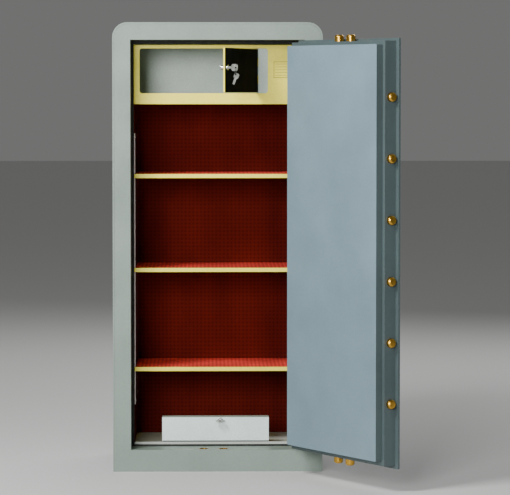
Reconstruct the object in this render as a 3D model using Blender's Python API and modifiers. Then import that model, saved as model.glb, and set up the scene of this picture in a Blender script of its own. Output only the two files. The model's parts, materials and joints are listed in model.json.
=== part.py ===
"""Gun safe, 700 x 500 x 1500 mm, standing with its door and its locker open.

World axes: X to the right, Y from the front to the back, Z up; the origin is the middle of the base.
Most sub-parts hang from the empty "cabinet_front": their local Y is the depth behind the front face.
The door's sub-parts hang from "door_axis" and are drawn as they lie in the shut door: the empty opens it.
Every sub-part is one closed solid, and neighbours keep a gap of GAP.
"""

from math import cos, pi, radians, sin

import bmesh
import bpy
from mathutils import Matrix, Vector

GAP = 0.0003
ROUND = 24  # sides of a round piece

# cabinet
WIDTH = 0.700
DEPTH = 0.500
HEIGHT = 1.500
CORNER = 0.050
SHELL = 0.006
SHELL_CHAMFER = 0.005
BACK = 0.004
BASE = 0.006
ANCHOR_HOLE = 0.007
ANCHOR_HALF = 0.250
ANCHOR_DEPTHS = (0.100, 0.400)

# door opening in the front frame
OPEN_HALF = 0.2904
OPEN_LOW = 0.0730
OPEN_HIGH = 1.4420
FRAME = 0.005
JAMB = 0.004
JAMB_DEPTH = 0.098

# lining behind the jambs
SEAL_HALF = 0.2815
SEAL_LOW = 0.0785
SEAL_HIGH = 1.4285
SEAL_DEPTH = (0.0983, 0.1103)
LINER_HALF = 0.2838
LINER_LOW = 0.0757
LINER_HIGH = 1.4308
LINER_FRONT = 0.1106
LINER_BACK = 0.4425
LINER = 0.0015
LINING = 0.0022
FLOOR = 0.0020
FLOOR_LIP = 0.0085

# shelves
SHELF_TOPS = {"upper": 0.9928, "middle": 0.6759, "lower": 0.3402}
SHELF_LIP = 0.0138
SHELF_SHEET = 0.0020
SHELF_FRONT = 0.1125
SHELF_BACK = 0.4370
MAT = 0.0025
UPRIGHT_FRONT = 0.1180
UPRIGHT_REAR = 0.3950
UPRIGHT_WIDE = 0.0250
UPRIGHT_THICK = 0.0035
UPRIGHT_LOW = 0.2130
UPRIGHT_HIGH = 1.1300
SLOT_PITCH = 0.0500
UPRIGHT_FINISH = {"front": "white_strip", "rear": "red_paint"}

# locker at the top
FASCIA_LOW = 1.2275
FASCIA_HIGH = 1.4272
FASCIA_FRONT = 0.1310
FASCIA = 0.0030
WINDOW_X = (-0.2620, 0.1697)
WINDOW_Z = (1.2645, 1.4148)
WINDOW_CORNER = 0.0090
STILE_LEFT = 0.1365
LOCKER_AXIS_X = 0.1355
LOCKER_AXIS_DEPTH = 0.1318
LOCKER_OPEN = radians(73.3)
LOCKER_PANEL = 0.0054
LOCKER_CLEARANCE = 0.0020
LOCKER_KNUCKLE = 0.0025
LOCKER_PIN = 0.0012
LOCKER_KNUCKLES = 5

# cartridge box on the floor
AMMO_X = (-0.1880, 0.1730)
AMMO_TOP = 0.1690
AMMO_FRONT = 0.1165
AMMO_DEPTH = 0.0520
AMMO_SHEET = 0.0015
AMMO_FLAP = 0.0022
AMMO_AXIS_Z = 0.0895
AMMO_LOCK = (0.0085, 0.1588)

# cam locks and their keys
BARREL = 0.0075
BARREL_RIM = 0.0092
BARREL_BORE = 0.0055
KEY = 0.0022
KEY_BLADE = 0.0074
KEY_HOLE = 0.0030
RING = 0.0090
RING_WIRE = 0.0007
SPARE_LEAN = radians(69.5)

# main door: local X runs from the hinge axis (0) to the free edge (negative), local Y inwards, Z up
HINGE_X = 0.2889
HINGE_DEPTH = -0.0085
DOOR_OPEN = radians(121.36)
DOOR_HINGE_EDGE = -0.0010
DOOR_FREE_EDGE = -0.5768
DOOR_LOW = 0.0758
DOOR_HIGH = 1.4392
DOOR_FACE = 0.0180
PLATE = 0.0070
PLATE_SKIN = 0.0040
PLATE_RIM = 0.0350
BOX_X = (-0.5613, -0.0260)
BOX_Z = (0.0861, 1.4306)
BOX_DEPTH = 0.0420
BOX_WALL = 0.0030
BOX_FLOOR = 0.0020
COVER_X = (-0.5489, -0.0351)
COVER_Z = (0.1013, 1.4198)
COVER_DEPTH = 0.0238
COVER_SHEET = 0.0015
COVER_ROUND = 0.0050

# hinges
KNUCKLE = 0.0080
HINGE_PIN = 0.0040
HINGE_LENGTH = 0.0500
HINGE_LEAF = 0.0400
HINGE_SHEET = 0.0030
HINGE_BLOCK = 0.0052
HINGE_HEIGHTS = {"upper": 1.2200, "lower": 0.2600}

# bolt work
BOLT = 0.0150
BOLT_CHAMFER = 0.0040
BOLT_LENGTH = 0.0750
BOLT_Y = 0.0439
BOLT_HOLE = 0.0160
SIDE_BOLT_TIP = -0.5755
SIDE_BOLT_HIGH = 1.2533
SIDE_BOLT_LOW = 0.2826
SIDE_BOLTS = 6
END_BOLT_X = (-0.3361, -0.2695)
TOP_BOLT_TIP = 1.4536
BOTTOM_BOLT_TIP = 0.0631
BAR = 0.0060
BAR_Y = (0.0290, 0.0588)
ROD_Y = (0.0345, 0.0465)
ROD = 0.0120
SLEEVE = 0.0185
SLEEVE_BORE = 0.0163
STRIKE = 0.0030
STRIKE_HALF = 0.0250

# handle, dial and lock on the door
HANDLE_X = (DOOR_HINGE_EDGE + DOOR_FREE_EDGE) / 2
HANDLE_Z = 0.7500
DIAL_Z = 0.9600
CRANK = 0.0400
SPINDLE = 0.0080
DIAL_SPINDLE = 0.0040
DIAL = 0.0380

FINISHES = {
    # name: (colour, roughness, metallic)
    "body_paint": ((0.36, 0.41, 0.38), 0.55, 0.3),
    "door_paint": ((0.29, 0.36, 0.40), 0.50, 0.3),
    "cream_enamel": ((0.95, 0.86, 0.38), 0.35, 0.0),
    "hammertone": ((0.45, 0.52, 0.50), 0.45, 0.4),
    "red_lining": ((0.060, 0.003, 0.002), 0.95, 0.0),
    "bare_steel": ((0.42, 0.43, 0.42), 0.40, 0.9),
    "brass": ((0.62, 0.40, 0.10), 0.25, 1.0),
    "chrome": ((0.75, 0.75, 0.74), 0.12, 1.0),
    "black_seal": ((0.008, 0.010, 0.008), 0.80, 0.0),
    "black_paint": ((0.006, 0.005, 0.004), 0.45, 0.0),
    "white_strip": ((0.62, 0.52, 0.48), 0.50, 0.2),
    "red_paint": ((0.055, 0.003, 0.002), 0.60, 0.0),
    "grey_floor": ((0.09, 0.09, 0.08), 0.70, 0.1),
    "gypsum": ((0.70, 0.68, 0.62), 0.90, 0.0),
}


def clear_scene():
    for obj in list(bpy.data.objects):
        bpy.data.objects.remove(obj, do_unlink=True)


def new_collection(name):
    group = bpy.data.collections.new(name)
    bpy.context.scene.collection.children.link(group)
    return group


def finish_material(name):
    """The Principled material of this finish, made once."""
    found = bpy.data.materials.get(name)
    if found:
        return found
    colour, roughness, metallic = FINISHES[name]
    made = bpy.data.materials.new(name)
    made.use_nodes = True
    shader = made.node_tree.nodes["Principled BSDF"]
    shader.inputs["Base Color"].default_value = (*colour, 1.0)
    shader.inputs["Roughness"].default_value = roughness
    shader.inputs["Metallic"].default_value = metallic
    return made


def empty(name, location, parent=None, turn=0.0):
    """A guide that its children hang from, turned about its own Z axis."""
    guide = bpy.data.objects.new(name, None)
    guide.location = location
    guide.rotation_euler = (0.0, 0.0, turn)
    guide.parent = parent
    parts.objects.link(guide)
    return guide


def add(name, mesh, location, parent, finish):
    """An object for this mesh: a sub-part, or with no finish a helper for cutting and joining."""
    obj = bpy.data.objects.new(name, mesh)
    obj.location = location
    obj.parent = parent
    if finish:
        mesh.materials.append(finish_material(finish))
        parts.objects.link(obj)
    else:
        obj.hide_render = True
        obj.display_type = "WIRE"
        cutters.objects.link(obj)
    return obj


def box(name, x, y, z, parent, finish=None):
    """A box between the given pairs of X, Y and Z in the parent's frame."""
    lo, hi = (Vector(v) for v in zip(x, y, z))
    bm = bmesh.new()
    bmesh.ops.create_cube(bm, size=1.0)
    bmesh.ops.scale(bm, vec=hi - lo, verts=bm.verts)
    mesh = bpy.data.meshes.new(name)
    bm.to_mesh(mesh)
    bm.free()
    return add(name, mesh, (lo + hi) / 2, parent, finish)


def smooth(obj, angle=radians(30)):
    obj.data.shade_smooth()
    obj.data.set_sharp_from_angle(angle=angle)


def rod(name, start, end, radius, parent, finish=None, sides=ROUND):
    """A round bar between two points in the parent's frame."""
    start, end = Vector(start), Vector(end)
    bm = bmesh.new()
    bmesh.ops.create_cone(
        bm, cap_ends=True, segments=sides, radius1=radius, radius2=radius, depth=(end - start).length
    )
    turn = Vector((0, 0, 1)).rotation_difference(end - start).to_matrix().to_4x4()
    bm.transform(turn)
    mesh = bpy.data.meshes.new(name)
    bm.to_mesh(mesh)
    bm.free()
    obj = add(name, mesh, (start + end) / 2, parent, finish)
    smooth(obj)
    return obj


def turned(name, profile, location, axis, parent, finish=None):
    """A turned piece: the profile is (radius, height) pairs from the top down, the height along axis."""
    mesh = bpy.data.meshes.new(name)
    edges = [(i, i + 1) for i in range(len(profile) - 1)]
    mesh.from_pydata([(r, 0.0, h) for r, h in profile], edges, [])
    obj = add(name, mesh, location, parent, finish)
    obj.rotation_mode = "QUATERNION"
    obj.rotation_quaternion = Vector((0, 0, 1)).rotation_difference(Vector(axis))
    screw = obj.modifiers.new("turn", "SCREW")
    screw.steps = screw.render_steps = ROUND
    screw.use_merge_vertices = True
    screw.merge_threshold = 0.00001
    screw.use_smooth_shade = True
    return obj


def ring(name, centre, axis, outer, bore, length, parent, finish=None):
    """A plain ring: a turned rectangle, closed by one more edge, with centre the middle of the ring."""
    half = length / 2
    profile = [(outer, half), (outer, -half), (bore, -half), (bore, half)]
    obj = turned(name, profile, centre, axis, parent, finish)
    closing = bmesh.new()
    closing.from_mesh(obj.data)
    closing.verts.ensure_lookup_table()
    closing.edges.new((closing.verts[3], closing.verts[0]))
    closing.to_mesh(obj.data)
    closing.free()
    return obj


def arc(x, z, radius, start, stop, steps=8):
    """Points on an arc of the XZ plane, angles in degrees."""
    angles = [radians(start + (stop - start) * i / steps) for i in range(steps + 1)]
    return [(x + radius * cos(a), z + radius * sin(a)) for a in angles]


def rounded(x, z, low, high):
    """A rectangle's outline, its lower corners rounded by low and its upper ones by high."""
    points = []
    for cx, cz, radius, start in (
        (x[1], z[0], low, -90),
        (x[1], z[1], high, 0),
        (x[0], z[1], high, 90),
        (x[0], z[0], low, 180),
    ):
        if radius:
            inward_x = -radius if cx == x[1] else radius
            inward_z = -radius if cz == z[1] else radius
            points += arc(cx + inward_x, cz + inward_z, radius, start, start + 90)
        else:
            points.append((cx, cz))
    return points


def sheet(name, outline, y, parent, finish=None):
    """A flat plate: the outline stands in the XZ plane, and y gives its two faces."""
    curve = bpy.data.curves.new(name, "CURVE")
    curve.dimensions = "2D"
    curve.fill_mode = "BOTH"
    curve.extrude = (y[1] - y[0]) / 2
    spline = curve.splines.new("POLY")
    spline.points.add(len(outline) - 1)
    for point, (px, pz) in zip(spline.points, outline):
        point.co = (px, pz, 0.0, 1.0)
    spline.use_cyclic_u = True
    source = bpy.data.objects.new(name, curve)
    cutters.objects.link(source)
    evaluated = source.evaluated_get(bpy.context.evaluated_depsgraph_get())
    mesh = bpy.data.meshes.new_from_object(evaluated)
    bpy.data.objects.remove(source, do_unlink=True)
    bm = bmesh.new()
    bm.from_mesh(mesh)
    bmesh.ops.remove_doubles(bm, verts=bm.verts, dist=0.00001)
    bm.transform(Matrix.Rotation(pi / 2, 4, "X"))
    bmesh.ops.recalc_face_normals(bm, faces=bm.faces)
    bm.to_mesh(mesh)
    bm.free()
    mesh.materials.clear()
    return add(name, mesh, (0.0, (y[0] + y[1]) / 2, 0.0), parent, finish)


def boolean(obj, other, operation):
    step = obj.modifiers.new(other.name, "BOOLEAN")
    step.operation = operation
    step.object = other
    return obj


def cut(obj, *others):
    for other in others:
        boolean(obj, other, "DIFFERENCE")
    return obj


def join(obj, *others):
    for other in others:
        boolean(obj, other, "UNION")
    return obj


def span(centre, half):
    return (centre - half, centre + half)


def side_bolt_heights():
    step = (SIDE_BOLT_HIGH - SIDE_BOLT_LOW) / (SIDE_BOLTS - 1)
    return [SIDE_BOLT_HIGH - i * step for i in range(SIDE_BOLTS)]


def make_shell(front):
    inner_half = WIDTH / 2 - SHELL
    outline = rounded(span(0, WIDTH / 2), (0.0, HEIGHT), 0, CORNER)
    shell = sheet("outer_shell", outline, (0.0, DEPTH), front, "body_paint")
    edge = shell.modifiers.new("front edge", "BEVEL")
    edge.width = SHELL_CHAMFER
    edge.segments = 1
    edge.limit_method = "VGROUP"
    edge.vertex_group = "front_rim"
    rim = shell.vertex_groups.new(name="front_rim")
    front_face = min(v.co.y for v in shell.data.vertices)
    rim.add([v.index for v in shell.data.vertices if v.co.y < front_face + GAP and v.co.z > GAP], 1.0, "ADD")
    hollow = rounded(span(0, inner_half), (-0.01, HEIGHT - SHELL), 0, CORNER - SHELL)
    cut(shell, sheet("shell_hollow", hollow, (-0.01, DEPTH + 0.01), front))

    fit = inner_half - GAP
    lid = rounded(span(0, fit), (0.0, HEIGHT - SHELL - GAP), 0, CORNER - SHELL)
    sheet("back_panel", lid, (DEPTH - BACK, DEPTH), front, "body_paint")

    inside = (FRAME + GAP, DEPTH - BACK - GAP)
    base = box("base_plate", span(0, fit), inside, (0.0, BASE), front, "body_paint")
    for side in (-1, 1):
        for depth in ANCHOR_DEPTHS:
            ends = (side * ANCHOR_HALF, depth, -0.01), (side * ANCHOR_HALF, depth, BASE + 0.01)
            cut(base, rod(f"anchor_{side}_{depth}", *ends, ANCHOR_HOLE, front, sides=16))

    frame = sheet("front_frame", lid, (0.0, FRAME), front, "body_paint")
    outer = OPEN_HALF + JAMB
    join(
        frame,
        box("jambs", span(0, outer), (0.001, JAMB_DEPTH), (OPEN_LOW - JAMB, OPEN_HIGH + JAMB), front),
    )
    cut(
        frame,
        box("opening", span(0, OPEN_HALF), (-0.01, JAMB_DEPTH + 0.01), (OPEN_LOW, OPEN_HIGH), front),
    )
    hole = SLEEVE + GAP
    bolt_depth = BOLT_Y + HINGE_DEPTH
    for i, z in enumerate(side_bolt_heights()):
        ends = (-OPEN_HALF - 0.01, bolt_depth, z), (-OPEN_HALF + 0.01, bolt_depth, z)
        cut(frame, rod(f"side_hole_{i}", *ends, hole, front))
    for i, x in enumerate(END_BOLT_X):
        for end, z in (("low", OPEN_LOW), ("high", OPEN_HIGH)):
            at = (HINGE_X + x, bolt_depth)
            cut(frame, rod(f"{end}_hole_{i}", (*at, z - 0.01), (*at, z + 0.01), hole, front))


def make_strikes(front):
    """Brass strips behind the jambs, each with sleeves that pass through the jamb for the bolts."""
    depth = BOLT_Y + HINGE_DEPTH
    back = JAMB + GAP
    heights = side_bolt_heights()
    x = (-OPEN_HALF - back - STRIKE, -OPEN_HALF - back)
    z = (heights[-1] - 0.035, heights[0] + 0.035)
    side = box("strike_side", x, span(depth, STRIKE_HALF), z, front, "brass")
    for i, height in enumerate(heights):
        ends = (x[0] + 0.001, depth, height), (-OPEN_HALF - GAP, depth, height)
        join(side, rod(f"side_sleeve_{i}", *ends, SLEEVE, front))
    for i, height in enumerate(heights):
        ends = (x[0] - 0.01, depth, height), (-OPEN_HALF + 0.01, depth, height)
        cut(side, rod(f"side_bore_{i}", *ends, SLEEVE_BORE, front))

    across = (HINGE_X + END_BOLT_X[0] - 0.035, HINGE_X + END_BOLT_X[1] + 0.035)
    for name, face, away in (("strike_top", OPEN_HIGH, 1), ("strike_bottom", OPEN_LOW, -1)):
        near, far = face + away * back, face + away * (back + STRIKE)
        strip = box(name, across, span(depth, STRIKE_HALF), sorted((near, far)), front, "brass")
        for i, bolt_x in enumerate(END_BOLT_X):
            at = (HINGE_X + bolt_x, depth)
            ends = (*at, far - away * 0.001), (*at, face + away * GAP)
            join(strip, rod(f"{name}_sleeve_{i}", *ends, SLEEVE, front))
        for i, bolt_x in enumerate(END_BOLT_X):
            at = (HINGE_X + bolt_x, depth)
            ends = (*at, far + away * 0.01), (*at, face - away * 0.01)
            cut(strip, rod(f"{name}_bore_{i}", *ends, SLEEVE_BORE, front))


def make_lining(front):
    seal_out = OPEN_HALF + 0.0031
    seal_z = (OPEN_LOW - 0.003, OPEN_HIGH + 0.003)
    seal = box("door_seal", span(0, seal_out), SEAL_DEPTH, seal_z, front, "black_seal")
    through = (SEAL_DEPTH[0] - 0.01, SEAL_DEPTH[1] + 0.01)
    cut(seal, box("seal_hole", span(0, SEAL_HALF), through, (SEAL_LOW, SEAL_HIGH), front))

    outer = LINER_HALF + LINER
    depth = (LINER_FRONT, LINER_BACK + LINER)
    liner = box(
        "inner_liner", span(0, outer), depth, (LINER_LOW - LINER, LINER_HIGH + LINER), front, "body_paint"
    )
    flange = (LINER_FRONT, LINER_FRONT + LINER)
    join(liner, box("liner_flange", span(0, seal_out), flange, (OPEN_LOW - 0.003, OPEN_HIGH + 0.003), front))
    hollow_y = (LINER_FRONT - 0.01, LINER_BACK)
    cut(liner, box("liner_hollow", span(0, LINER_HALF), hollow_y, (LINER_LOW, LINER_HIGH), front))

    floor_low = LINER_LOW + GAP
    floor_top = floor_low + FLOOR
    inside = (LINER_FRONT + GAP, LINER_BACK - LINING - 2 * GAP)
    across = span(0, LINER_HALF - GAP)
    floor = box("floor_plate", across, inside, (floor_low, floor_top), front, "grey_floor")
    lip = (inside[0], inside[0] + FLOOR)
    join(floor, box("floor_lip", across, lip, (floor_low, floor_top + FLOOR_LIP), front))

    panel_z = (floor_top + GAP, FASCIA_LOW - GAP)
    back_y = (LINER_BACK - GAP - LINING, LINER_BACK - GAP)
    side_y = (lip[1] + GAP, back_y[0] - GAP)
    for name, side in (("left", -1), ("right", 1)):
        near, far = LINER_HALF - GAP - LINING, LINER_HALF - GAP
        box(f"lining_{name}", sorted((side * near, side * far)), side_y, panel_z, front, "red_lining")
    box("lining_back", across, back_y, panel_z, front, "red_lining")


def make_uprights(front):
    wall = LINER_HALF - 2 * GAP - LINING
    slots = int((UPRIGHT_HIGH - UPRIGHT_LOW) / SLOT_PITCH)
    for side_name, side in (("left", -1), ("right", 1)):
        for place, depth in (("front", UPRIGHT_FRONT), ("rear", UPRIGHT_REAR)):
            x = sorted((side * wall, side * (wall - UPRIGHT_THICK)))
            y = (depth, depth + UPRIGHT_WIDE)
            name = f"upright_{side_name}_{place}"
            strip = box(name, x, y, (UPRIGHT_LOW, UPRIGHT_HIGH), front, UPRIGHT_FINISH[place])
            face = side * (wall - UPRIGHT_THICK)
            first = UPRIGHT_LOW + SLOT_PITCH / 2
            slot_y = span(depth + UPRIGHT_WIDE / 2, 0.002)
            slot = box(f"{name}_slot", span(face, 0.003), slot_y, span(first, 0.007), front)
            row = slot.modifiers.new("row", "ARRAY")
            row.count = slots
            row.use_relative_offset = False
            row.use_constant_offset = True
            row.constant_offset_displace = (0.0, 0.0, SLOT_PITCH)
            cut(strip, slot)


def make_shelves(front):
    pan_half = LINER_HALF - 2 * GAP - LINING - UPRIGHT_THICK - 0.0007
    lip_half = LINER_HALF - 2 * GAP - LINING - GAP
    for name, top in SHELF_TOPS.items():
        pan_top = top - MAT - 0.0015
        low = top - SHELF_LIP
        tray_y = (SHELF_FRONT + SHELF_SHEET / 4, SHELF_BACK)
        tray_z = (low + SHELF_SHEET / 4, pan_top)
        shelf = box(f"shelf_{name}", span(0, pan_half), tray_y, tray_z, front, "cream_enamel")
        under_x = span(0, pan_half - SHELF_SHEET)
        under_y = (SHELF_FRONT + SHELF_SHEET / 2, SHELF_BACK - SHELF_SHEET)
        cut(shelf, box(f"{name}_under", under_x, under_y, (low - 0.01, pan_top - SHELF_SHEET), front))
        lip_y = (SHELF_FRONT, SHELF_FRONT + SHELF_SHEET)
        join(shelf, box(f"{name}_lip", span(0, lip_half), lip_y, (low, top), front))
        mat_y = (SHELF_FRONT + SHELF_SHEET + GAP, SHELF_BACK)
        mat_z = (pan_top + GAP, pan_top + GAP + MAT)
        box(f"shelf_mat_{name}", span(0, pan_half), mat_y, mat_z, front, "red_lining")


def make_locker(front):
    half = LINER_HALF - GAP - LINING / 2
    wall = 0.002
    y = (FASCIA_FRONT + FASCIA + GAP, LINER_BACK - GAP)
    z = (FASCIA_LOW + 0.0015, FASCIA_HIGH)
    case = box("locker_case", span(0, half), y, z, front, "hammertone")
    hollow_z = (z[0] + wall, z[1] - wall)
    left = box("locker_hollow", (wall - half, STILE_LEFT), (y[0] - 0.01, y[1] - wall), hollow_z, front)
    right_x = (STILE_LEFT - 0.01, half - wall)
    right = box("locker_side_hollow", right_x, (y[0] + wall, y[1] - wall), hollow_z, front)
    cut(case, left, right)

    plate = rounded(span(0, half), (FASCIA_LOW, FASCIA_HIGH), 0, 0)
    fascia = sheet("locker_fascia", plate, (FASCIA_FRONT, FASCIA_FRONT + FASCIA), front, "cream_enamel")
    window = rounded(WINDOW_X, WINDOW_Z, WINDOW_CORNER, WINDOW_CORNER)
    cut(fascia, sheet("window", window, (FASCIA_FRONT - 0.01, FASCIA_FRONT + 0.01), front))


def cam_lock(prefix, holder, plug_axis, face, at, collar, reach, cam_turn, keyway):
    """A cam lock through a panel: the barrel hangs from holder, the plug with its cam from plug_axis.

    at is the lock's (X, Z) and face the Y of the panel's outer face. The barrel stands out by collar and
    goes in by reach; cam_turn is where the cam points, and keyway is half the slot's width and height.
    """
    x, z = at
    front_y, rear_y = face - collar, face + reach
    centre = (x, (front_y + rear_y) / 2, z)
    length = rear_y - front_y
    barrel = ring(f"{prefix}_lock_barrel", centre, (0, 1, 0), BARREL, BARREL_BORE, length, holder, "chrome")
    rim_centre = (x, (front_y + face - GAP) / 2, z)
    rim_bore = BARREL_BORE + 0.0001
    join(barrel, ring(f"{prefix}_rim", rim_centre, (0, 1, 0), BARREL_RIM, rim_bore, collar - GAP, holder))

    plug_front, plug_rear = front_y + 0.0010, rear_y + 0.0035
    ends = (0, plug_front, 0), (0, plug_rear, 0)
    plug = rod(f"{prefix}_cam", *ends, BARREL_BORE - GAP, plug_axis, "chrome")
    cam_y = (rear_y + GAP, plug_rear - 0.0005)
    cam = rounded((-0.008, 0.030), span(0, 0.007), 0.005, 0.005)
    arm = sheet(f"{prefix}_cam_arm", cam, cam_y, plug_axis)
    arm.rotation_euler = (0.0, cam_turn, 0.0)
    slot_y = (front_y - 0.01, rear_y - 0.002)
    slot = box(f"{prefix}_keyway", span(0, keyway[0]), slot_y, span(0, keyway[1]), plug_axis)
    cut(join(plug, arm), slot)


def key(name, bow_x, bow_z, blade_to, hole_at, parent):
    """A flat key in the parent's XZ plane: a bow between bow_x, bow_z high, and a blade up to blade_to."""
    thick = span(0, KEY / 2)
    bow = sheet(name, rounded(bow_x, span(0, bow_z / 2), 0.006, 0.006), thick, parent, "chrome")
    blade = box(f"{name}_blade", (bow_x[1] - 0.002, blade_to), thick, span(0, KEY_BLADE / 2), parent)
    ends = (hole_at[0], -0.01, hole_at[1]), (hole_at[0], 0.01, hole_at[1])
    return cut(join(bow, blade), rod(f"{name}_hole", *ends, KEY_HOLE, parent))


def make_locker_door(front):
    axis = empty("locker_axis", (LOCKER_AXIS_X, LOCKER_AXIS_DEPTH, 0.0), front, LOCKER_OPEN)
    free = WINDOW_X[0] + LOCKER_CLEARANCE - LOCKER_AXIS_X
    hinge = -LOCKER_KNUCKLE - 0.0007
    outer_face = FASCIA_FRONT + 0.0001 - LOCKER_AXIS_DEPTH
    y = (outer_face, outer_face + LOCKER_PANEL)
    z = (WINDOW_Z[0] + LOCKER_CLEARANCE, WINDOW_Z[1] - LOCKER_CLEARANCE)
    panel = sheet("locker_door_panel", rounded((free, hinge), z, 0.004, 0.004), y, axis, "cream_enamel")
    inset = rounded((free + 0.0012, hinge - 0.0012), (z[0] + 0.0012, z[1] - 0.0012), 0.004, 0.004)
    skin = sheet("locker_door_skin", inset, (y[0] - GAP - 0.0008, y[0] - GAP), axis, "black_paint")
    make_locker_hinge(front, axis, panel, y[0], z)

    lock = (free + 0.0150, (z[0] + z[1]) / 2 + 0.0085)
    through = (lock[0], -0.02, lock[1]), (lock[0], 0.02, lock[1])
    cut(panel, rod("locker_panel_hole", *through, BARREL + GAP, axis))
    cut(skin, rod("locker_skin_hole", *through, BARREL + GAP, axis))
    turn = empty("locker_key_axis", (lock[0], 0.0, lock[1]), axis)
    face = y[0] - GAP - 0.0008
    cam_lock("locker", axis, turn, face, lock, 0.0050, 0.0160, 0.0, (0.0015, 0.0042))

    upright = empty("locker_key_plane", (0.0, face, 0.0), turn, pi / 2)
    bow_x = (-0.0380, -0.0170)
    hole_x = bow_x[0] + 0.0070
    key("locker_key", bow_x, 0.0230, 0.0120, (hole_x, 0.0), upright)
    make_key_ring(upright, hole_x)


def make_locker_hinge(front, axis, panel, panel_face, z):
    """A five-knuckle hinge: the odd knuckles, the pin and a leaf on the case, the even ones on the door."""
    step = (z[1] - z[0]) / LOCKER_KNUCKLES
    at = (LOCKER_AXIS_X, LOCKER_AXIS_DEPTH)
    leaf_y = FASCIA_FRONT + FASCIA
    leaf_x = (LOCKER_AXIS_X, LOCKER_AXIS_X + 0.016)
    case_y = (leaf_y - 0.001, leaf_y)
    leaf = box("locker_hinge", (leaf_x[0] + 0.0034, leaf_x[1]), case_y, z, front, "hammertone")
    join(leaf, rod("locker_pin", (*at, z[0] + 0.001), (*at, z[1] - 0.001), LOCKER_PIN, front, sides=12))
    for i in range(LOCKER_KNUCKLES):
        low, high = z[0] + i * step + GAP / 2, z[0] + (i + 1) * step - GAP / 2
        if i % 2 == 0:
            join(leaf, rod(f"case_knuckle_{i}", (*at, low), (*at, high), LOCKER_KNUCKLE, front, sides=16))
            join(leaf, box(f"case_tab_{i}", (leaf_x[0], leaf_x[0] + 0.004), case_y, (low, high), front))
        else:
            low, high = low + GAP, high - GAP
            tab_y = (panel_face, panel_face + 0.0015)
            join(panel, rod(f"door_knuckle_{i}", (0, 0, low), (0, 0, high), LOCKER_KNUCKLE, axis, sides=16))
            join(panel, box(f"door_tab_{i}", (-0.006, 0.0), tab_y, (low, high), axis))
    bore_ends = (0, 0, z[0] - 0.01), (0, 0, z[1] + 0.01)
    cut(panel, rod("locker_bore", *bore_ends, LOCKER_PIN + 0.0004, axis, sides=16))


def make_key_ring(plane, hole_x):
    """A ring through the key's bow with a spare key hanging on it by its corner, both in the key's plane."""
    drop = KEY_HOLE - RING_WIRE - 0.0005
    swing = empty("key_ring_axis", (hole_x, 0.0, -drop), plane)
    bm = bmesh.new()
    bmesh.ops.create_circle(bm, segments=8, radius=RING_WIRE)
    bm.transform(Matrix.Translation((RING, 0, 0)) @ Matrix.Rotation(pi / 2, 4, "X"))
    mesh = bpy.data.meshes.new("key_ring")
    bm.to_mesh(mesh)
    bm.free()
    loop = add("key_ring", mesh, (0.0, 0.0, -RING), swing, "chrome")
    loop.rotation_euler = (0.0, pi / 2, 0.0)
    screw = loop.modifiers.new("turn", "SCREW")
    screw.steps = screw.render_steps = 32
    screw.use_merge_vertices = True
    screw.merge_threshold = 0.00001

    hang = empty("spare_key_axis", (0.0, 0.0, -2 * RING), swing)
    lean = empty("spare_key_lean", (0.0, 0.0, -drop), hang)
    lean.rotation_euler = (0.0, SPARE_LEAN, 0.0)
    corner = 0.0040
    bow = empty("spare_key_bow", (0.0, 0.0, -corner), lean)
    key("spare_key", (-0.0045, 0.0135), 0.0170, 0.0335, (0.0, corner), bow)


def make_ammo_box(front):
    floor_top = LINER_LOW + GAP + FLOOR
    y = (AMMO_FRONT + 0.0030, AMMO_FRONT + AMMO_DEPTH)
    case = box("ammo_case", AMMO_X, y, (floor_top + GAP, AMMO_TOP), front, "hammertone")
    hollow_x = (AMMO_X[0] + AMMO_SHEET, AMMO_X[1] - AMMO_SHEET)
    hollow_z = (floor_top + GAP + AMMO_SHEET, AMMO_TOP - AMMO_SHEET)
    cut(case, box("ammo_hollow", hollow_x, (y[0] - 0.01, y[1] - AMMO_SHEET), hollow_z, front))
    catch_x = (AMMO_LOCK[0] - 0.032, AMMO_LOCK[0] - 0.012)
    catch_z = (AMMO_LOCK[1] - 0.007, AMMO_TOP - AMMO_SHEET / 2)
    join(case, box("ammo_catch", catch_x, (y[0] + GAP, y[0] + GAP + AMMO_SHEET), catch_z, front))

    axis = empty("ammo_axis", (0.0, AMMO_FRONT, AMMO_AXIS_Z), front)
    flap_z = (0.0, AMMO_TOP - AMMO_AXIS_Z)
    flap = box("ammo_flap", AMMO_X, (0.0, AMMO_FLAP), flap_z, axis, "hammertone")
    lock = (AMMO_LOCK[0], AMMO_LOCK[1] - AMMO_AXIS_Z)
    through = (lock[0], -0.01, lock[1]), (lock[0], 0.01, lock[1])
    cut(flap, rod("ammo_flap_hole", *through, BARREL + GAP, axis))
    turn = empty("ammo_key_axis", (lock[0], 0.0, lock[1]), axis)
    cam_lock("ammo", axis, turn, 0.0, lock, 0.0030, 0.0065, pi / 2, (0.0042, 0.0015))
    level = empty("ammo_key_plane", (0.0, 0.0, 0.0), turn)
    level.rotation_euler = (pi / 2, 0.0, pi / 2)
    key("ammo_key", (-0.0270, -0.0090), 0.0320, 0.0035, (-0.0220, 0.0), level)


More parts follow.
